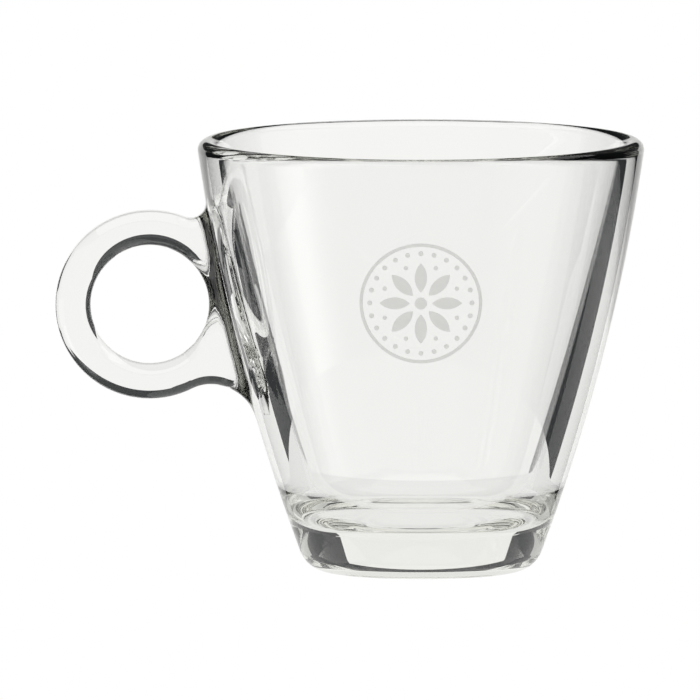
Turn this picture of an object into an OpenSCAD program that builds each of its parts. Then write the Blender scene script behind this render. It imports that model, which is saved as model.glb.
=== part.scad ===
// Coffee glass for a cortado: a thick pressed bowl on a solid heel, with a round finger ring.
// The table is the plane z = 0, the cup stands on the z axis and the finger ring points to -x.

/* [Bowl] */
// Outside diameter of the rim
rim_d = 80; // [74:0.5:90]
// Height from the table to the top of the lip
cup_h = 77.5; // [72:0.5:86]
// Radius of the gentle outward curve of the outer wall
wall_arc_r = 350; // [250:10:700]
// Radius of the same curve on the cavity's wall
cavity_arc_r = 600; // [400:10:900]
// Diameter of the flat middle of the cavity's floor
floor_d = 18; // [14:0.5:26]
// Height of the cavity's floor above the table
floor_z = 9.6; // [7.5:0.1:12]
// Rounding between the cavity's floor and its wall
floor_corner_r = 12; // [8:0.25:14]

/* [Lip] */
// Thickness of the wall at the rounded lip
lip_t = 3.6; // [2.8:0.1:4.2]
// Height of the lip's band, down to its joint with the bowl
lip_h = 3; // [2.4:0.1:6]

/* [Heel] */
// Diameter of the flat underside that the cup stands on
foot_d = 33; // [30:0.5:38]
// Rounding between the underside and the outer wall
heel_r = 5.5; // [4:0.25:7]
// Height of the heel, up to its joint with the bowl
heel_h = 6; // [4.5:0.25:7]
// Diameter of the shallow hollow under the heel
hollow_d = 25; // [16:0.5:28]
// Depth of that hollow
hollow_depth = 0.8; // [0.4:0.1:1.6]

/* [Finger ring] */
// Diameter of the hole for the finger
ring_hole_d = 21.2; // [19:0.1:24]
// Width of the ring's band between the hole and the outside
ring_w = 6.3; // [4.5:0.05:7]
// Thickness of the ring from front to back
ring_t = 7.4; // [6:0.1:9]
// Rounding of the band's edges at the hole, as a share of the ring's thickness
hole_edge_share = 0.43; // [0.2:0.01:0.44]
// Rounding of the band's outer edges, as a share of the width or half thickness that is left for it
outer_edge_share = 0.88; // [0.4:0.01:0.9]
// Distance of the ring's centre below the top of the lip
ring_drop = 29.6; // [25:0.1:34]

/* [Ring root] */
// Thickness of the glass between the finger hole and the wall
root_t = 3.1; // [2:0.1:5]
// Fillet between the ring and the wall above the ring
upper_fillet_r = 2.7; // [1.8:0.1:4]
// Fillet between the ring and the wall below the ring
lower_fillet_r = 8.3; // [5:0.1:10]
// Fillet between the root's two flat faces and the wall
face_fillet_r = 2.7; // [1.5:0.1:3.5]
// Thickness of the blunt edge where those fillets end on the wall
fillet_edge_t = 0.15; // [0.1:0.05:0.4]

/* [Print] */
// Diameter of the printed medallion on the front of the bowl
print_d = 22; // [18:0.5:26]
// Distance of the medallion's centre below the top of the lip
print_drop = 26.1; // [22:0.1:32]
// Thickness of the frosted print
print_t = 0.08; // [0.06:0.01:0.15]
// Width of the medallion's border ring
border_w = 0.6; // [0.4:0.05:1]
// Diameter of one bead
bead_d = 0.9; // [0.6:0.05:1.1]
// Number of beads inside the border
bead_count = 24; // [16:2:30]
// Clear space between the border and the beads
bead_gap = 0.8; // [0.4:0.05:1.2]
// Number of petals in the rosette
petal_count = 8; // [6:1:10]
// Clear space between the petals' tips and the beads
petal_gap = 1.3; // [0.8:0.1:2]
// Width of one petal
petal_w = 2.2; // [1.4:0.1:2.4]
// Diameter of the rosette's middle dot
eye_d = 2.2; // [1.4:0.1:2.6]
// Clear space between the middle dot and the petals
eye_gap = 0.9; // [0.6:0.05:1.2]
// Diameter of the small dots between the petals' tips
seed_d = 0.8; // [0.5:0.05:1]

/* [Hidden] */
$fn = 360;

// Straight steps that stand for each arc of the profile
wall_steps = 14;
round_steps = 10;
hollow_steps = 4;

// How far a cut runs past what it cuts
overrun = 1;

rim_r = rim_d / 2;
lip_r = lip_t / 2;
foot_r = foot_d / 2;
floor_r = floor_d / 2;
hollow_r = hollow_d / 2;
ring_hole_r = ring_hole_d / 2;
ring_r = ring_hole_r + ring_w;
hole_edge_r = ring_t * hole_edge_share;
outer_edge_r = outer_edge_share * min(ring_w - hole_edge_r, ring_t / 2);
lip_joint_z = cup_h - lip_h;
ring_z = cup_h - ring_drop;
print_z = cup_h - print_drop;

// Places in the medallion, as distances from its centre
bead_place_r = print_d / 2 - border_w - bead_gap - bead_d / 2;
petal_low_r = eye_d / 2 + eye_gap;
petal_high_r = bead_place_r - bead_d / 2 - petal_gap;
petal_l = petal_high_r - petal_low_r;

function polar(c, r, a) = c + r * [cos(a), sin(a)];
function angle_of(v) = atan2(v.y, v.x);

// Points of an arc, without its first one
function arc(c, r, from, to, steps) =
    [for (i = [1 : steps]) polar(c, r, from + (to - from) * i / steps)];

function reversed(list) = [for (i = [len(list) - 1 : -1 : 0]) list[i]];

// The point at distance ra from a and rb from b, on one side of the line from a to b
function meet(a, ra, b, rb, side) =
    let (d = norm(b - a))
    let (u = (b - a) / d)
    let (along = (ra * ra - rb * rb + d * d) / (2 * d))
    a + along * u + side * sqrt(ra * ra - along * along) * [-u.y, u.x];

// Centres of the profile's arcs, as [distance from the axis, height]. Each arc touches the next.
lip_c = [rim_r - lip_r, cup_h - lip_r];
heel_c = [foot_r, heel_r];
floor_c = [floor_r, floor_z + floor_corner_r];
wall_c = meet(lip_c, wall_arc_r - lip_r, heel_c, wall_arc_r - heel_r, -1);
cavity_c = meet(lip_c, cavity_arc_r + lip_r, floor_c, cavity_arc_r - floor_corner_r, -1);
hollow_arc_r = (hollow_r * hollow_r + hollow_depth * hollow_depth) / (2 * hollow_depth);
hollow_c = [0, hollow_depth - hollow_arc_r];

wall_low_a = angle_of(heel_c - wall_c);
wall_high_a = angle_of(lip_c - wall_c);
cavity_low_a = angle_of(floor_c - cavity_c);
cavity_high_a = angle_of(lip_c - cavity_c);
lip_inner_a = angle_of(cavity_c - lip_c);
hollow_edge_a = 90 - asin(hollow_r / hollow_arc_r);

outer_points = concat(
    [[foot_r, 0]],
    arc(heel_c, heel_r, -90, wall_low_a, round_steps),
    arc(wall_c, wall_arc_r, wall_low_a, wall_high_a, wall_steps)
);

cup_points = concat(
    [[0, hollow_depth]],
    arc(hollow_c, hollow_arc_r, 90, hollow_edge_a, hollow_steps),
    outer_points,
    arc(lip_c, lip_r, wall_high_a, lip_inner_a, 2 * round_steps),
    arc(cavity_c, cavity_arc_r, cavity_high_a, cavity_low_a, wall_steps),
    arc(floor_c, floor_corner_r, cavity_low_a, -90, round_steps),
    [[0, floor_z]]
);

// The cup's outline without its cavity
body_points = concat([[0, 0]], outer_points, [[0, outer_points[len(outer_points) - 1].y]]);

// Plan of the finger ring in the plane y = 0, as [x, z]
wall_r_at_ring = wall_c.x + sqrt(wall_arc_r * wall_arc_r - (ring_z - wall_c.y) * (ring_z - wall_c.y));
ring_reach = wall_r_at_ring + root_t + ring_hole_r;
ring_c = [-ring_reach, ring_z];
wall_side_c = [-wall_c.x, wall_c.y];
upper_c = meet(ring_c, ring_r + upper_fillet_r, wall_side_c, wall_arc_r + upper_fillet_r, 1);
lower_c = meet(ring_c, ring_r + lower_fillet_r, wall_side_c, wall_arc_r + lower_fillet_r, -1);

// Where the two fillets touch the wall, and the middle of the root between them
upper_wall_a = angle_of(wall_side_c - upper_c);
lower_wall_a = angle_of(wall_side_c - lower_c);
upper_foot = polar(upper_c, upper_fillet_r, upper_wall_a);
lower_foot = polar(lower_c, lower_fillet_r, lower_wall_a);
root_mid = (upper_foot + lower_foot) / 2;
root_l = norm(upper_foot - lower_foot);
root_lean = atan2(lower_foot.x - upper_foot.x, upper_foot.y - lower_foot.y);

// Distance of the wall from the axis at the root's middle, square to the wall's slope
root_wall_r = -root_mid.x / cos(root_lean);

// The part of a fillet's arc that is left off, so that it ends in a blunt edge
function blunt_a(r) = acos(1 - fillet_edge_t / r);

module cup_band(low, high) {
    rotate_extrude()
        intersection() {
            polygon(cup_points);
            translate([0, low])
                square([rim_d, high - low]);
        }
}

module cup_body() {
    rotate_extrude()
        polygon(body_points);
}

// Stands a plan drawn as [x, z] up in the plane y = 0, half of its thickness on each side
module upright(t) {
    rotate([90, 0, 0])
        translate([0, 0, -t / 2])
            linear_extrude(t)
                children();
}

// A disc that cuts a hole of radius r with rounded edges through the ring's thickness
module rounded_hole(c, r, edge_r) {
    edge_c = [r + edge_r, ring_t / 2 - edge_r];
    far = ring_t / 2 + overrun;
    front = concat([[r, edge_c.y]], arc(edge_c, edge_r, 180, 90, round_steps), [[edge_c.x, far]]);
    back = [for (p = front) [p.x, -p.y]];
    translate([c.x, 0, c.y])
        rotate([90, 0, 0])
            rotate_extrude()
                polygon(concat([[0, -far]], reversed(back), front, [[0, far]]));
}

// Section of the ring's band, as [distance from the ring's axis, place along it]
module ring_section() {
    inner = [ring_hole_r + hole_edge_r, ring_t / 2 - hole_edge_r];
    outer = [ring_r - outer_edge_r, ring_t / 2 - outer_edge_r];
    polygon(concat(
        arc(outer, outer_edge_r, -90 / round_steps, 90, round_steps + 1),
        arc(inner, hole_edge_r, 90 - 90 / round_steps, 180, round_steps + 1),
        arc([inner.x, -inner.y], hole_edge_r, 180 - 90 / round_steps, 270, round_steps + 1),
        arc([outer.x, -outer.y], outer_edge_r, 270 - 90 / round_steps, 360, round_steps + 1)
    ));
}

// The sector of the ring's plan that belongs to the root
module root_sector() {
    reach = 2 * ring_r;
    polygon([
        ring_c,
        ring_c + reach * (upper_c - ring_c) / norm(upper_c - ring_c),
        ring_c + [2 * reach, reach],
        ring_c + [2 * reach, -reach],
        ring_c + reach * (lower_c - ring_c) / norm(lower_c - ring_c)
    ]);
}

// The plan of the root, from the ring's centre into the wall
module root_plan() {
    polygon([
        ring_c,
        upper_c,
        polar(upper_c, upper_fillet_r + lip_r, upper_wall_a - blunt_a(upper_fillet_r)),
        polar(lower_c, lower_fillet_r + lip_r, lower_wall_a + blunt_a(lower_fillet_r)),
        lower_c
    ]);
}

// Section of the fillet between the root's front face and the wall, square to the wall's slope
module face_fillet_section() {
    fillet_y = ring_t / 2 + face_fillet_r;
    fillet_far = root_wall_r + face_fillet_r;
    fillet_c = [-sqrt(fillet_far * fillet_far - fillet_y * fillet_y), fillet_y];
    start_a = blunt_a(face_fillet_r) - 90;
    end_a = angle_of(-fillet_c) - blunt_a(face_fillet_r);
    start = polar(fillet_c, face_fillet_r, start_a);
    end = polar(fillet_c, face_fillet_r, end_a);
    inside = lip_t - root_wall_r;
    seat = ring_t / 2 - fillet_edge_t;
    polygon(concat(
        [[start.x, seat], start],
        arc(fillet_c, face_fillet_r, start_a, end_a, round_steps),
        [[inside, end.y], [inside, seat]]
    ));
}

// How far from its edge a rounding has come to within the blunt edge's thickness of the flat face
function ledge(edge_r) = edge_r - sqrt(edge_r * edge_r - (edge_r - fillet_edge_t) * (edge_r - fillet_edge_t));

// A straight cut through the whole root that leaves a blunt edge on a rounding
module face_cut(c, r, edge_r) {
    upright(rim_d)
        translate(c)
            circle(r + ledge(edge_r));
}

// The root's shape, from the ring's band to the wall
module root_body() {
    difference() {
        upright(ring_t)
            root_plan();
        rounded_hole(ring_c, ring_hole_r, hole_edge_r);
        rounded_hole(upper_c, upper_fillet_r, outer_edge_r);
        rounded_hole(lower_c, lower_fillet_r, outer_edge_r);
        cup_body();
    }
}

module base_heel() {
    color([0.80, 0.85, 0.84, 0.6])
        cup_band(0, heel_h);
}

module bowl_wall() {
    color([0.86, 0.90, 0.89, 0.5])
        cup_band(heel_h, lip_joint_z);
}

module rim_lip() {
    color([0.72, 0.78, 0.76, 0.6])
        cup_band(lip_joint_z, cup_h + overrun);
}

module handle_ring() {
    color([0.84, 0.88, 0.87, 0.6])
        difference() {
            translate([ring_c.x, 0, ring_c.y])
                rotate([90, 0, 0])
                    rotate_extrude()
                        ring_section();
            upright(ring_t + 2 * overrun)
                root_sector();
        }
}

module handle_root() {
    color([0.78, 0.83, 0.80, 0.6])
        root_body();
}

// One fillet on the root's front face and one on its back face
module root_fillets() {
    color([0.74, 0.79, 0.74, 0.6])
        for (side = [0, 1])
            mirror([0, side, 0])
                difference() {
                    translate([0, 0, root_mid.y + root_wall_r * sin(root_lean)])
                        rotate([0, -root_lean, 0])
                            translate([0, 0, -root_l / 2])
                                linear_extrude(root_l)
                                    face_fillet_section();
                    face_cut(ring_c, ring_hole_r, hole_edge_r);
                    face_cut(upper_c, upper_fillet_r, outer_edge_r);
                    face_cut(lower_c, lower_fillet_r, outer_edge_r);
                    cup_body();
                    root_body();
                }
}

// A skin on the outer wall, as thick as the print
module wall_skin() {
    outside = arc(wall_c, wall_arc_r + print_t, wall_low_a, wall_high_a, wall_steps);
    inside = arc(wall_c, wall_arc_r, wall_low_a, wall_high_a, wall_steps);
    rotate_extrude()
        polygon(concat(inside, reversed(outside)));
}

// Lays a flat motif on the front of the bowl
module on_bowl() {
    intersection() {
        wall_skin();
        translate([0, 0, print_z])
            rotate([90, 0, 0])
                linear_extrude(rim_d)
                    children();
    }
}

module petal() {
    arc_r = (petal_l * petal_l + petal_w * petal_w) / (4 * petal_w);
    shift = arc_r - petal_w / 2;
    intersection() {
        translate([shift, 0])
            circle(arc_r);
        translate([-shift, 0])
            circle(arc_r);
    }
}

module print_border() {
    color([0.84, 0.84, 0.83])
        on_bowl()
            difference() {
                circle(print_d / 2);
                circle(print_d / 2 - border_w);
            }
}

module print_beads() {
    color([0.84, 0.84, 0.83])
        on_bowl()
            for (i = [0 : bead_count - 1])
                rotate(360 * i / bead_count)
                    translate([0, bead_place_r])
                        circle(bead_d / 2);
}

module print_rosette() {
    petal_mid_r = (petal_low_r + petal_high_r) / 2;
    seed_place_r = petal_high_r - seed_d / 2;
    color([0.84, 0.84, 0.83])
        on_bowl() {
            circle(eye_d / 2);
            for (i = [0 : petal_count - 1]) {
                rotate(360 * i / petal_count)
                    translate([0, petal_mid_r])
                        petal();
                rotate(360 * (i + 0.5) / petal_count)
                    translate([0, seed_place_r])
                        circle(seed_d / 2);
            }
        }
}

base_heel();
bowl_wall();
rim_lip();
handle_ring();
handle_root();
root_fillets();
print_border();
print_beads();
print_rosette();
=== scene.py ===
"""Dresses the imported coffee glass: one clear pressing with a finger ring, and its fired print."""

import math
from typing import NamedTuple

import bmesh
import bpy
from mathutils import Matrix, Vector


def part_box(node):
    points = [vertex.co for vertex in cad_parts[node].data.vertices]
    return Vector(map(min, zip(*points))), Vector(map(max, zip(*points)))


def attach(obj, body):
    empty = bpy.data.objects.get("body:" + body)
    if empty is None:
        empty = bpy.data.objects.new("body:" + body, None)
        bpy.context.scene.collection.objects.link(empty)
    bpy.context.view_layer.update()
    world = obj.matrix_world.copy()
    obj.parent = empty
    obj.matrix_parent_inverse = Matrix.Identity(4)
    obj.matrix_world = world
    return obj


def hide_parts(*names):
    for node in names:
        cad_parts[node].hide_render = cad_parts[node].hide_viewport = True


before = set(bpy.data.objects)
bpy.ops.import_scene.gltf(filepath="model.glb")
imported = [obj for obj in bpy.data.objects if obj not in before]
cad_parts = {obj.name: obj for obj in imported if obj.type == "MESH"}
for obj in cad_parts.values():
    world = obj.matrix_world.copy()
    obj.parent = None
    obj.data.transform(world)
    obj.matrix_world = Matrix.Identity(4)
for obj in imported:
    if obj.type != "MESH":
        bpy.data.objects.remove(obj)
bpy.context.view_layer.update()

bl_info = {
    "name": "Pressed coffee glass",
    "version": (1, 0, 0),
    "blender": (4, 5, 0),
    "location": "View3D > Sidebar > Coffee glass",
    "description": "Models a pressed coffee glass with a finger ring on its CAD frame",
    "category": "Object",
}

GLASS_NODES = ("base_heel", "bowl_wall", "rim_lip", "handle_ring", "handle_root", "root_fillets")
PRINT_NODES = ("print_border", "print_beads", "print_rosette")
BODY = "root"
MM = 0.001
FULL_TURN = 2 * math.pi

# Steps of the bowl's section and of its turn
HOLLOW_STEPS = 10
HEEL_STEPS = 16
WALL_STEPS = 56
LIP_STEPS = 28
CORNER_STEPS = 20
SPIN_STEPS = 288

# Steps of the ring's outline and of its rounded edges
RING_STEPS = 216
FILLET_STEPS = 28
SUNK_STEPS = 40
EDGE_STEPS = 14
LEAST_TURN = 0.002
BURY = 0.5 * MM

# Cuts across the root, closer together near the wall, and the angle in degrees where its fillet stops
FLARE_CUTS = 14
FLARE_REACH = 1.3
FLARE_EASE = 1.5
FLARE_SUNK = 0.25
FLARE_STOP = 76.0

MERGE = 0.002 * MM
EVEN_WEIGHT = 100

# Grain of the two materials
WAVE_SCALE = 90.0
WAVE_DETAIL = 2.0
PRINT_IOR = 1.3
GRAIN_SCALE = 2500.0
GRAIN_DETAIL = 3.0
GRAIN_SPREAD = 0.08
GRAIN_SHADE = 0.94

# Stage
DISC_STEPS = 128
FLOOR_DROP = 0.03 * MM
CARD_MIDDLE = 0.5
WHITE = (1, 1, 1)
GLASS_BOUNCES = 64
OTHER_BOUNCES = 16
MIX_A, MIX_B, MIX_RESULT = 6, 7, 2

LIP_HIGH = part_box("rim_lip")[1]
RING_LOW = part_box("handle_ring")[0]


def length(name, description, default):
    """A length that a user can change, in metres."""
    return bpy.props.FloatProperty(
        name=name, description=description, default=default, unit="LENGTH", precision=5, min=0.0
    )


def colour(name, description, default):
    """A colour that a user can change."""
    return bpy.props.FloatVectorProperty(
        name=name, description=description, default=default, subtype="COLOR", size=3, min=0.0, max=1.0
    )


def number(name, description, default, top=10.0):
    """A plain number that a user can change."""
    return bpy.props.FloatProperty(
        name=name, description=description, default=default, min=0.0, max=top, precision=3
    )


def angle(name, description, degrees):
    """An angle that a user can change."""
    return bpy.props.FloatProperty(
        name=name, description=description, default=math.radians(degrees), subtype="ANGLE"
    )


class BowlShape(bpy.types.PropertyGroup):
    """Sizes of the bowl's section."""

    rim_r: length("Rim radius", "Outside radius of the rim", LIP_HIGH.x)
    height: length("Height", "Height from the table to the top of the lip", LIP_HIGH.z)
    wall_arc_r: length("Wall arc", "Radius of the outer wall's curve", 350 * MM)
    cavity_arc_r: length("Cavity arc", "Radius of the cavity wall's curve", 600 * MM)
    floor_r: length("Floor radius", "Radius of the flat middle of the cavity's floor", 9 * MM)
    floor_z: length("Floor height", "Height of the cavity's floor", 9.6 * MM)
    floor_corner_r: length("Floor corner", "Rounding between the floor and the wall", 12 * MM)
    lip_t: length("Lip thickness", "Thickness of the wall at the lip", 3.6 * MM)
    foot_r: length("Foot radius", "Radius of the flat underside", 16.5 * MM)
    heel_r: length("Heel rounding", "Rounding between the underside and the wall", 5.5 * MM)
    hollow_r: length("Hollow radius", "Radius of the hollow under the heel", 12.5 * MM)
    hollow_depth: length("Hollow depth", "Depth of that hollow", 0.8 * MM)


class RingShape(bpy.types.PropertyGroup):
    """Sizes of the finger ring and its root."""

    hole_r: length("Hole radius", "Radius of the finger hole", 10.6 * MM)
    band_w: length("Band width", "Width of the band between the hole and the outside", 6.3 * MM)
    thickness: length("Thickness", "Thickness from front to back", 7.4 * MM)
    hole_edge_r: length("Hole edge", "Rounding of the band's edges at the hole", 3.182 * MM)
    outer_edge_r: length("Outer edge", "Rounding of the band's outer edges", 2.744 * MM)
    height: length("Ring height", "Height of the ring's centre", 47.9 * MM)
    upper_fillet_r: length("Upper fillet", "Fillet to the wall above the ring", 2.7 * MM)
    lower_fillet_r: length("Lower fillet", "Fillet to the wall below the ring", 8.3 * MM)
    face_fillet_r: length("Face fillet", "Fillet from the flat faces to the wall", 2.7 * MM)
    sink: length("Sink", "How far the root runs into the wall before it is joined", 3.0 * MM)


class GlassFinish(bpy.types.PropertyGroup):
    """Look of the clear pressing."""

    tint: colour("Tint", "Colour that thick glass takes on", (0.88, 0.8825, 0.8525))
    depth: bpy.props.FloatProperty(
        name="Depth of tint", description="How fast the tint builds up, per metre", default=20.0, min=0.0
    )
    ior: number("Index of refraction", "Bending of light in the glass", 1.51, 2.5)
    waves: number("Waves", "Strength of the soft waves that pressing leaves", 0.004, 1.0)


class PrintFinish(bpy.types.PropertyGroup):
    """Look of the fired print."""

    ink: colour("Ink", "Colour of the print", (0.93, 0.93, 0.92))
    roughness: number("Roughness", "How strongly the print scatters light", 0.55, 1.0)


class StudioLight(bpy.types.PropertyGroup):
    """Light, floor and camera."""

    light: colour("Light", "Colour of the cards and the table top", (1.0, 1.0, 0.985))
    dark: colour("Dark", "Colour of the unlit room", (0.037, 0.0395, 0.041))
    floor_r: length("Floor radius", "Radius of the floor that the camera sees", 0.6)
    table_r: length("Table radius", "Radius of the white table top that shows in the glass", 80 * MM)
    table_x: length("Table shift", "How far the table top's middle lies to the left", 4 * MM)
    near_r: length("Near radius", "Radius of the table top that the glass mirrors", 50 * MM)
    # Painted shadow: the table top glows dimmer than the floor, standing in for the cup's shadow on the
    # table as seen through the glass
    table_glow_with_painted_shadow: number("Table light", "Strength of the table top's light", 0.85)
    top_height: length("Top height", "Height of the white card above the cup", 0.6)
    top_w: length("Top width", "Width of that card", 1.0)
    elevation: angle("Camera elevation", "Angle of the camera above the horizon", 5.44)
    distance: length("Camera distance", "Distance from the camera to the cup", 2.0)
    view_w: length("View width", "Width of the picture at the cup", 0.1254)
    aim_x: bpy.props.FloatProperty(
        name="Aim x", description="Where the camera aims, along x", default=-12.7 * MM, unit="LENGTH"
    )
    aim_z: length("Aim height", "Height that the camera aims at", 39.64 * MM)


def meet(a, ra, b, rb, side):
    """The point at distance ra from a and rb from b, on one side of the line from a to b."""
    u = (b - a).normalized()
    d = (b - a).length
    along = (ra * ra - rb * rb + d * d) / (2 * d)
    return a + along * u + side * math.sqrt(ra * ra - along * along) * Vector((-u.y, u.x))


def angle_of(v):
    """The turn of a direction from the first axis."""
    return math.atan2(v.y, v.x)


def turned(turn):
    """The direction at that turn."""
    return Vector((math.cos(turn), math.sin(turn)))


def arc(c, r, start, end, steps):
    """Points of an arc, without its first one."""
    turns = [start + (end - start) * (i + 1) / steps for i in range(steps)]
    return [c + r * turned(a) for a in turns]


def wall_centre(bowl):
    """Centre of the outer wall's arc, as distance from the axis and height."""
    lip_r = bowl.lip_t / 2
    lip_c = Vector((bowl.rim_r - lip_r, bowl.height - lip_r))
    heel_c = Vector((bowl.foot_r, bowl.heel_r))
    return meet(lip_c, bowl.wall_arc_r - lip_r, heel_c, bowl.wall_arc_r - bowl.heel_r, -1)


def bowl_section(bowl):
    """The bowl's half section, from the middle of the underside round to the middle of the floor."""
    lip_r = bowl.lip_t / 2
    lip_c = Vector((bowl.rim_r - lip_r, bowl.height - lip_r))
    heel_c = Vector((bowl.foot_r, bowl.heel_r))
    floor_c = Vector((bowl.floor_r, bowl.floor_z + bowl.floor_corner_r))
    wall_c = wall_centre(bowl)
    cavity_c = meet(lip_c, bowl.cavity_arc_r + lip_r, floor_c, bowl.cavity_arc_r - bowl.floor_corner_r, -1)
    hollow_arc_r = (bowl.hollow_r**2 + bowl.hollow_depth**2) / (2 * bowl.hollow_depth)
    hollow_c = Vector((0, bowl.hollow_depth - hollow_arc_r))
    hollow_edge = math.pi / 2 - math.asin(bowl.hollow_r / hollow_arc_r)
    wall_low, wall_high = angle_of(heel_c - wall_c), angle_of(lip_c - wall_c)
    cavity_low, cavity_high = angle_of(floor_c - cavity_c), angle_of(lip_c - cavity_c)
    lip_inner = angle_of(cavity_c - lip_c) % FULL_TURN
    down = -math.pi / 2
    points = [Vector((0, bowl.hollow_depth))]
    points += arc(hollow_c, hollow_arc_r, math.pi / 2, hollow_edge, HOLLOW_STEPS)
    points += [Vector((bowl.foot_r, 0))]
    points += arc(heel_c, bowl.heel_r, down, wall_low, HEEL_STEPS)
    points += arc(wall_c, bowl.wall_arc_r, wall_low, wall_high, WALL_STEPS)
    points += arc(lip_c, lip_r, wall_high, lip_inner, LIP_STEPS)
    points += arc(cavity_c, bowl.cavity_arc_r, cavity_high, cavity_low, WALL_STEPS)
    points += arc(floor_c, bowl.floor_corner_r, cavity_low, down, CORNER_STEPS)
    points += [Vector((0, bowl.floor_z))]
    return points


def deselect_all():
    """Leaves edit mode and selects nothing."""
    if bpy.context.object and bpy.context.object.mode != "OBJECT":
        bpy.ops.object.mode_set(mode="OBJECT")
    bpy.ops.object.select_all(action="DESELECT")


def make_bowl(bowl):
    """The bowl, drawn as a section and spun round its axis."""
    points = bowl_section(bowl)
    start = Vector((points[0].x, 0, points[0].y))
    deselect_all()
    bpy.ops.mesh.primitive_plane_add(size=MM, location=start)
    piece = bpy.context.object
    piece.name = "glass_cup"
    bpy.ops.object.transform_apply(location=True, rotation=True, scale=True)
    bpy.ops.object.mode_set(mode="EDIT")
    bpy.ops.mesh.select_all(action="SELECT")
    bpy.ops.mesh.merge(type="CENTER")
    last = start
    for point in points[1:]:
        place = Vector((point.x, 0, point.y))
        bpy.ops.mesh.extrude_vertices_move(TRANSFORM_OT_translate={"value": place - last})
        last = place
    bpy.ops.mesh.select_all(action="SELECT")
    bpy.ops.mesh.spin(steps=SPIN_STEPS, angle=FULL_TURN, center=(0, 0, 0), axis=(0, 0, 1))
    bpy.ops.mesh.select_all(action="SELECT")
    bpy.ops.mesh.remove_doubles(threshold=MERGE)
    bpy.ops.mesh.normals_make_consistent(inside=False)
    bpy.ops.object.mode_set(mode="OBJECT")
    return piece


class RingPlan:
    """The ring's plan in the plane y = 0: its hole and its outline with the fillets to the wall."""

    def __init__(self, bowl, ring):
        wall_c = wall_centre(bowl)
        self.ring = ring
        self.outer_r = ring.hole_r + ring.band_w
        self.centre = Vector((RING_LOW.x + self.outer_r, ring.height))
        self.wall_c = Vector((-wall_c.x, wall_c.y))
        self.sunk_r = bowl.wall_arc_r - ring.sink
        self.upper_c = self.fillet_centre(bowl, ring.upper_fillet_r, 1)
        self.lower_c = self.fillet_centre(bowl, ring.lower_fillet_r, -1)
        self.leave_high = angle_of(self.upper_c - self.centre)
        self.leave_low = angle_of(self.lower_c - self.centre) + FULL_TURN
        self.land_high = angle_of(self.wall_c - self.upper_c)
        self.land_low = angle_of(self.wall_c - self.lower_c)
        self.upper_foot = self.upper_c + ring.upper_fillet_r * turned(self.land_high)
        self.lower_foot = self.lower_c + ring.lower_fillet_r * turned(self.land_low)
        self.turns = self.hole_turns()

    def fillet_centre(self, bowl, radius, side):
        """Centre of the fillet above or below the ring."""
        return meet(self.centre, self.outer_r + radius, self.wall_c, bowl.wall_arc_r + radius, side)

    def hole_turns(self):
        """Turns of the points round the hole, each opposite its outline point and never out of order."""
        flat = self.outline(self.ring.outer_edge_r)
        turns = [angle_of(point - self.centre) % FULL_TURN for point in flat]
        for i in range(RING_STEPS, len(turns)):
            if turns[i] < math.pi:
                turns[i] += FULL_TURN
            turns[i] = max(turns[i], turns[i - 1] + LEAST_TURN)
        return turns

    def early(self, radius, inset):
        """How long before the wall a fillet's arc ends, so that it ends just inside the wall."""
        return math.acos(min((radius + BURY) / (radius + inset), 1.0))

    def rise(self, c, radius, land, side):
        """Where the sunk part of the outline starts or ends, as a turn about the wall's centre."""
        inset = self.ring.outer_edge_r
        end = c + (radius + inset) * turned(land + side * self.early(radius, inset))
        return angle_of(end - self.wall_c) % FULL_TURN

    def outline(self, inset):
        """Points of the outline, moved in by that much everywhere but inside the wall."""
        low, high = self.ring.lower_fillet_r, self.ring.upper_fillet_r
        end_low = self.land_low + self.early(low, inset)
        end_high = self.land_high - self.early(high, inset)
        rise_low = self.rise(self.lower_c, low, self.land_low, 1)
        rise_high = self.rise(self.upper_c, high, self.land_high, -1)
        points = arc(self.centre, self.outer_r - inset, self.leave_high, self.leave_low, RING_STEPS)
        points += arc(self.lower_c, low + inset, self.leave_low - math.pi, end_low, FILLET_STEPS)
        points += [self.wall_c + self.sunk_r * turned(rise_low)]
        points += arc(self.wall_c, self.sunk_r, rise_low, rise_high, SUNK_STEPS)
        points += [self.upper_c + (high + inset) * turned(end_high)]
        points += arc(self.upper_c, high + inset, end_high, self.leave_high - math.pi, FILLET_STEPS)
        return points

    def hole(self, inset):
        """Points round the hole, moved out by that much."""
        return [self.centre + (self.ring.hole_r + inset) * turned(turn) for turn in self.turns]


def ring_loops(bowl, ring):
    """Loops of the ring's skin, each as its plan and its place along y, from the hole round to it again."""
    plan = RingPlan(bowl, ring)
    half = ring.thickness / 2
    hole, outside = [], []
    for i in range(EDGE_STEPS + 1):
        turn = math.pi / 2 * i / EDGE_STEPS
        inward, out = 1 - math.cos(turn), 1 - math.sin(turn)
        hole.append((plan.hole(ring.hole_edge_r * inward), half - ring.hole_edge_r * out))
        outside.append((plan.outline(ring.outer_edge_r * inward), half - ring.outer_edge_r * out))
    front = hole + outside[::-1]
    return plan, front + [(points, -place) for points, place in reversed(front)] + front[:1]


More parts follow.
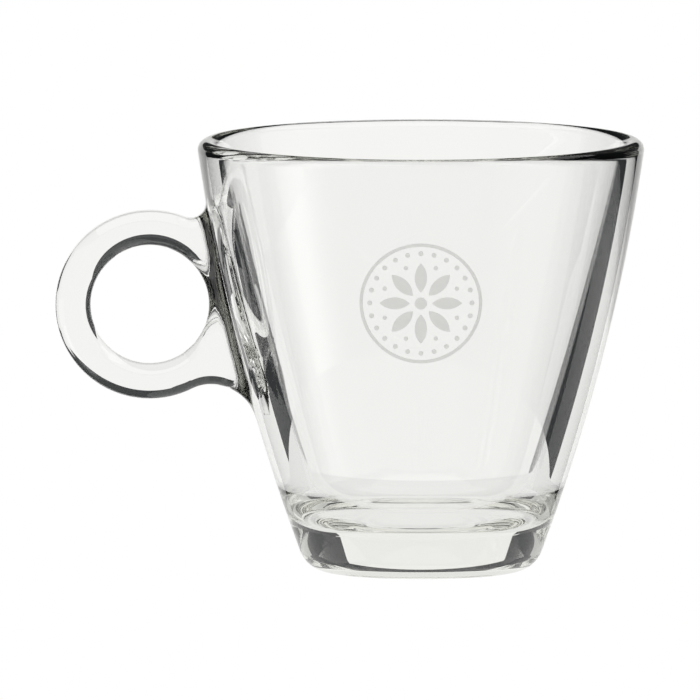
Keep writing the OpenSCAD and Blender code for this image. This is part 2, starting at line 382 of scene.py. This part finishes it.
def make_ring(bowl, ring):
    """The finger ring with its root, extruded loop by loop round its section and flared to the wall."""
    plan, loops = ring_loops(bowl, ring)
    deselect_all()
    bpy.ops.mesh.primitive_circle_add(vertices=len(plan.turns), radius=ring.hole_r, fill_type="NOTHING")
    piece = bpy.context.object
    piece.name = "finger_ring"
    mesh = piece.data
    slots = mesh.attributes.new("slot", "INT", "POINT")
    slots.data.foreach_set("value", range(len(plan.turns)))
    bpy.ops.object.mode_set(mode="EDIT")
    bpy.ops.mesh.select_all(action="SELECT")
    for i, (points, place) in enumerate(loops):
        if i:
            bpy.ops.mesh.extrude_edges_move(TRANSFORM_OT_translate={"value": (0, 0, 0)})
        bm = bmesh.from_edit_mesh(mesh)
        slot = bm.verts.layers.int["slot"]
        for vert in bm.verts:
            if vert.select:
                point = points[vert[slot]]
                vert.co = Vector((point.x, place, point.y))
        bmesh.update_edit_mesh(mesh)
    bpy.ops.mesh.select_all(action="SELECT")
    bpy.ops.mesh.remove_doubles(threshold=MERGE)
    flare(mesh, bowl, ring, plan)
    bpy.ops.mesh.select_all(action="SELECT")
    bpy.ops.mesh.remove_doubles(threshold=MERGE)
    bpy.ops.mesh.normals_make_consistent(inside=False)
    bpy.ops.object.mode_set(mode="OBJECT")
    mesh.attributes.remove(mesh.attributes["slot"])
    return piece


def flare(mesh, bowl, ring, plan):
    """Spreads the root's two flat faces to the wall in a fillet."""
    wall_c = wall_centre(bowl)
    half = ring.thickness / 2
    radius = ring.face_fillet_r
    along = (plan.upper_foot - plan.lower_foot).normalized()
    across = Vector((-along.y, along.x))
    mid = (plan.upper_foot + plan.lower_foot) / 2
    for i in range(FLARE_CUTS):
        reach = radius * FLARE_REACH * (i / FLARE_CUTS) ** FLARE_EASE
        cut = mid + across * (reach - ring.sink * FLARE_SUNK)
        bpy.ops.mesh.select_all(action="SELECT")
        bpy.ops.mesh.bisect(plane_co=(cut.x, 0, cut.y), plane_no=(across.x, 0, across.y), threshold=MERGE)
    stop = radius * math.sin(math.radians(FLARE_STOP))
    bm = bmesh.from_edit_mesh(mesh)
    for vert in bm.verts:
        rise = vert.co.z - wall_c.y
        wall_r = wall_c.x + math.sqrt(bowl.wall_arc_r**2 - rise**2)
        into = math.sqrt((wall_r + radius) ** 2 - (half + radius) ** 2) + vert.co.x
        if into > 0:
            grown = half + radius - math.sqrt(radius**2 - min(into, stop) ** 2)
            vert.co.y *= grown / half
    bmesh.update_edit_mesh(mesh)


def join_glass(bowl, ring):
    """Joins the ring to the bowl as one pressing."""
    deselect_all()
    bowl.select_set(True)
    bpy.context.view_layer.objects.active = bowl
    union = bowl.modifiers.new("join", "BOOLEAN")
    union.operation = "UNION"
    union.solver = "EXACT"
    union.object = ring
    bpy.ops.object.modifier_apply(modifier=union.name)
    bpy.data.objects.remove(ring)
    bpy.ops.object.shade_smooth()
    even = bowl.modifiers.new("even", "WEIGHTED_NORMAL")
    even.mode = "FACE_AREA"
    even.weight = EVEN_WEIGHT
    bpy.ops.object.modifier_apply(modifier=even.name)
    return bowl


def glass_material(finish):
    """Clear glass with a faint tint in depth and the soft waves that pressing leaves."""
    material = bpy.data.materials.new("pressed_clear_glass")
    material.use_nodes = True
    tree = material.node_tree
    shader = tree.nodes["Principled BSDF"]
    shader.inputs["Base Color"].default_value = (*WHITE, 1)
    shader.inputs["Roughness"].default_value = 0.0
    shader.inputs["IOR"].default_value = finish.ior
    shader.inputs["Transmission Weight"].default_value = 1.0
    place = tree.nodes.new("ShaderNodeTexCoord")
    waves = tree.nodes.new("ShaderNodeTexNoise")
    waves.inputs["Scale"].default_value = WAVE_SCALE
    waves.inputs["Detail"].default_value = WAVE_DETAIL
    bump = tree.nodes.new("ShaderNodeBump")
    bump.inputs["Strength"].default_value = finish.waves
    bump.inputs["Distance"].default_value = MM
    tree.links.new(place.outputs["Object"], waves.inputs["Vector"])
    tree.links.new(waves.outputs["Fac"], bump.inputs["Height"])
    tree.links.new(bump.outputs["Normal"], shader.inputs["Normal"])
    depth = tree.nodes.new("ShaderNodeVolumeAbsorption")
    depth.inputs["Color"].default_value = (*finish.tint, 1)
    depth.inputs["Density"].default_value = finish.depth
    tree.links.new(depth.outputs["Volume"], tree.nodes["Material Output"].inputs["Volume"])
    return material


def print_material(finish):
    """A light fired print that scatters what shines through it."""
    material = bpy.data.materials.new("fired_frost_print")
    material.use_nodes = True
    tree = material.node_tree
    shader = tree.nodes["Principled BSDF"]
    shader.inputs["Transmission Weight"].default_value = 1.0
    shader.inputs["IOR"].default_value = PRINT_IOR
    place = tree.nodes.new("ShaderNodeTexCoord")
    grain = tree.nodes.new("ShaderNodeTexNoise")
    grain.inputs["Scale"].default_value = GRAIN_SCALE
    grain.inputs["Detail"].default_value = GRAIN_DETAIL
    spread = tree.nodes.new("ShaderNodeMapRange")
    spread.inputs["To Min"].default_value = finish.roughness - GRAIN_SPREAD
    spread.inputs["To Max"].default_value = finish.roughness + GRAIN_SPREAD
    shade = tree.nodes.new("ShaderNodeMapRange")
    shade.inputs["To Min"].default_value = GRAIN_SHADE
    shade.inputs["To Max"].default_value = 1.0
    tone = tree.nodes.new("ShaderNodeVectorMath")
    tone.operation = "SCALE"
    tone.inputs[0].default_value = finish.ink
    tree.links.new(place.outputs["Object"], grain.inputs["Vector"])
    tree.links.new(grain.outputs["Fac"], spread.inputs["Value"])
    tree.links.new(grain.outputs["Fac"], shade.inputs["Value"])
    tree.links.new(spread.outputs["Result"], shader.inputs["Roughness"])
    tree.links.new(shade.outputs["Result"], tone.inputs["Scale"])
    tree.links.new(tone.outputs["Vector"], shader.inputs["Base Color"])
    return material


class CUP_OT_glass(bpy.types.Operator):
    """Model the pressing: bowl, heel, lip and finger ring in one piece of glass"""

    bl_idname = "coffee_glass.pressing"
    bl_label = "Pressing"

    def execute(self, context):
        bowl, ring = context.scene.bowl_shape, context.scene.ring_shape
        piece = join_glass(make_bowl(bowl), make_ring(bowl, ring))
        piece.data.materials.clear()
        piece.data.materials.append(glass_material(context.scene.glass_finish))
        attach(piece, BODY)
        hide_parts(*GLASS_NODES)
        return {"FINISHED"}


class CUP_OT_print(bpy.types.Operator):
    """Give the print its fired, frosted finish"""

    bl_idname = "coffee_glass.print"
    bl_label = "Print"

    def execute(self, context):
        material = print_material(context.scene.print_finish)
        for name in PRINT_NODES:
            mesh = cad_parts[name].data
            mesh.materials.clear()
            mesh.materials.append(material)
        return {"FINISHED"}


class CUP_OT_stage(bpy.types.Operator):
    """Set up the floor, the light and the camera"""

    bl_idname = "coffee_glass.stage"
    bl_label = "Stage"

    def execute(self, context):
        studio = context.scene.studio_light
        make_floor(studio)
        make_cards(studio)
        make_world(studio)
        make_camera(studio)
        scene = context.scene
        scene.view_settings.view_transform = "Standard"
        scene.cycles.max_bounces = GLASS_BOUNCES
        scene.cycles.transmission_bounces = GLASS_BOUNCES
        scene.cycles.glossy_bounces = OTHER_BOUNCES
        scene.cycles.transparent_max_bounces = OTHER_BOUNCES
        return {"FINISHED"}


class Card(NamedTuple):
    """A card round the cup: its bearing clockwise from the back in degrees, its reach in metres, its light
    in the middle and at its sides, and whether the outside of the glass mirrors it."""

    name: str
    bearing: float
    distance: float
    left: float
    right: float
    low: float
    high: float
    glow: float
    edge_glow: float
    mirrored: bool


CARDS = (
    Card("back_card", 0, 1.2, 0.767, 0.617, -1.4, 0.25, 0.95, 0.95, True),
    Card("foot_card", 0, 0.1, 0.0528, 0.0403, 0.022, 0.055, 0.95, 0.95, True),
    Card("right_sheet", 0, 0.17, -0.03, 0.075, -0.1, 0.085, 0.95, 0.95, True),
    Card("left_card", -90, 0.25, 0.14, 0.035, -0.02, 0.045, 1.0, 1.0, True),
    Card("left_strip", -106, 0.3, 0.11, 0.11, -0.3, -0.03, 1.9, 0.5, True),
    Card("rear_card", 135, 0.5, 0.3, 0.3, -0.14, 0.05, 1.0, 1.0, False),
    Card("low_card", -45, 1.0, 0.6, 0.6, -1.4, -0.395, 1.0, 1.0, False),
    Card("front_fill", 180, 0.8, 0.65, 0.65, -1.2, 0.7, 0.55, 0.55, True),
    Card("right_fill", 105, 0.8, 0.5, 0.6, -1.2, 0.6, 0.75, 0.55, True),
    Card("left_fill", -105, 0.8, 0.6, 0.5, -1.2, 0.6, 0.5, 0.5, True),
)


def glow_material(name, light_colour, glow, edge_glow):
    """Plain light that may fade from the middle of a card to its sides."""
    material = bpy.data.materials.new(name)
    material.use_nodes = True
    tree = material.node_tree
    light = tree.nodes.new("ShaderNodeEmission")
    light.inputs["Color"].default_value = (*light_colour, 1)
    light.inputs["Strength"].default_value = glow
    if edge_glow != glow:
        place = tree.nodes.new("ShaderNodeTexCoord")
        parts = tree.nodes.new("ShaderNodeSeparateXYZ")
        fade = tree.nodes.new("ShaderNodeMath")
        fade.operation = "PINGPONG"
        fade.inputs[1].default_value = CARD_MIDDLE
        level = tree.nodes.new("ShaderNodeMapRange")
        level.interpolation_type = "SMOOTHSTEP"
        level.inputs["From Max"].default_value = CARD_MIDDLE
        level.inputs["To Min"].default_value = edge_glow
        level.inputs["To Max"].default_value = glow
        tree.links.new(place.outputs["UV"], parts.inputs["Vector"])
        tree.links.new(parts.outputs["X"], fade.inputs[0])
        tree.links.new(fade.outputs["Value"], level.inputs["Value"])
        tree.links.new(level.outputs["Result"], light.inputs["Strength"])
    tree.links.new(light.outputs["Emission"], tree.nodes["Material Output"].inputs["Surface"])
    return material


def make_disc(name, radius, place, light_colour, glow):
    """A round lit surface just under the cup."""
    deselect_all()
    bpy.ops.mesh.primitive_circle_add(
        vertices=DISC_STEPS, radius=radius, fill_type="NGON", location=place
    )
    disc = bpy.context.object
    disc.name = name
    disc.data.materials.append(glow_material("white_" + name, light_colour, glow, glow))
    return disc


def make_floor(studio):
    """A plain white floor for the camera, and the table top that shows in the glass, its light dimmed below
    the floor's as painted shadow of the cup.
    """
    # Both table discs use this dimmer light, a painted shadow of the cup on the table
    light, glow = studio.light, studio.table_glow_with_painted_shadow
    near = make_disc("table_near", studio.near_r, (0, 0, -2 * FLOOR_DROP), light, glow)
    near.visible_camera = False
    table = make_disc("table_top", studio.table_r, (-studio.table_x, 0, -3 * FLOOR_DROP), light, glow)
    table.visible_camera = False
    table.visible_glossy = False
    floor = make_disc("studio_floor", studio.floor_r, (0, 0, -FLOOR_DROP), WHITE, 1.0)
    floor.visible_transmission = False
    floor.visible_glossy = False


def make_cards(studio):
    """The cards round the cup and the one above it, which only the glass sees."""
    for card in CARDS:
        deselect_all()
        bpy.ops.mesh.primitive_plane_add(size=1, rotation=(math.pi / 2, 0, 0))
        piece = bpy.context.object
        piece.scale = (card.left + card.right, card.high - card.low, 1)
        piece.location = ((card.right - card.left) / 2, card.distance, (card.low + card.high) / 2)
        bpy.ops.object.transform_apply(location=True, rotation=True, scale=True)
        piece.rotation_euler = (0, 0, -math.radians(card.bearing))
        bpy.ops.object.transform_apply(location=True, rotation=True, scale=True)
        piece.visible_glossy = card.mirrored
        hide_card(piece, card.name, studio.light, card.glow, card.edge_glow)
    deselect_all()
    bpy.ops.mesh.primitive_plane_add(size=studio.top_w, location=(0, 0, studio.top_height))
    hide_card(bpy.context.object, "top_card", studio.light, 1.0, 1.0)


def hide_card(piece, name, light_colour, glow, edge_glow):
    """Gives a card its light and keeps it out of the camera's sight."""
    piece.name = name
    piece.data.materials.append(glow_material("white_" + name, light_colour, glow, edge_glow))
    piece.visible_camera = False


def make_world(studio):
    """A dark room that looks white to the camera itself."""
    world = bpy.data.worlds.new("studio_room")
    bpy.context.scene.world = world
    world.use_nodes = True
    tree = world.node_tree
    path = tree.nodes.new("ShaderNodeLightPath")
    mix = tree.nodes.new("ShaderNodeMix")
    mix.data_type = "RGBA"
    mix.inputs[MIX_A].default_value = (*studio.dark, 1)
    mix.inputs[MIX_B].default_value = (*WHITE, 1)
    tree.links.new(path.outputs["Is Camera Ray"], mix.inputs["Factor"])
    tree.links.new(mix.outputs[MIX_RESULT], tree.nodes["Background"].inputs["Color"])


def make_camera(studio):
    """A parallel view from a little above the cup, as flat as the photograph's."""
    data = bpy.data.cameras.new("camera")
    camera = bpy.data.objects.new("camera", data)
    bpy.context.scene.collection.objects.link(camera)
    bpy.context.scene.camera = camera
    data.type = "ORTHO"
    data.ortho_scale = studio.view_w
    back = Vector((0, -math.cos(studio.elevation), math.sin(studio.elevation)))
    camera.location = Vector((studio.aim_x, 0, studio.aim_z)) + back * studio.distance
    camera.rotation_euler = (math.pi / 2 - studio.elevation, 0, 0)


class CUP_PT_panel(bpy.types.Panel):
    """Lists the steps and sizes of the coffee glass"""

    bl_idname = "CUP_PT_panel"
    bl_label = "Coffee glass"
    bl_space_type = "VIEW_3D"
    bl_region_type = "UI"
    bl_category = "Coffee glass"

    def draw(self, context):
        for step in STEPS:
            self.layout.operator(step.bl_idname)
        for name, group in GROUPS.items():
            box = self.layout.box()
            values = getattr(context.scene, name)
            for key in group.__annotations__:
                box.prop(values, key)


GROUPS = {
    "bowl_shape": BowlShape,
    "ring_shape": RingShape,
    "glass_finish": GlassFinish,
    "print_finish": PrintFinish,
    "studio_light": StudioLight,
}
STEPS = (CUP_OT_glass, CUP_OT_print, CUP_OT_stage)


def register():
    """Adds the groups of sizes, the steps and the panel."""
    for group in GROUPS.values():
        bpy.utils.register_class(group)
    for step in (*STEPS, CUP_PT_panel):
        bpy.utils.register_class(step)
    for name, group in GROUPS.items():
        setattr(bpy.types.Scene, name, bpy.props.PointerProperty(type=group))


def unregister():
    """Takes them away again."""
    for name in GROUPS:
        delattr(bpy.types.Scene, name)
    for step in (CUP_PT_panel, *reversed(STEPS)):
        bpy.utils.unregister_class(step)
    for group in reversed(list(GROUPS.values())):
        bpy.utils.unregister_class(group)


def main():
    """Builds the glass step by step."""
    register()
    bpy.ops.coffee_glass.pressing()
    bpy.ops.coffee_glass.print()
    bpy.ops.coffee_glass.stage()


if __name__ == "__main__":
    main()
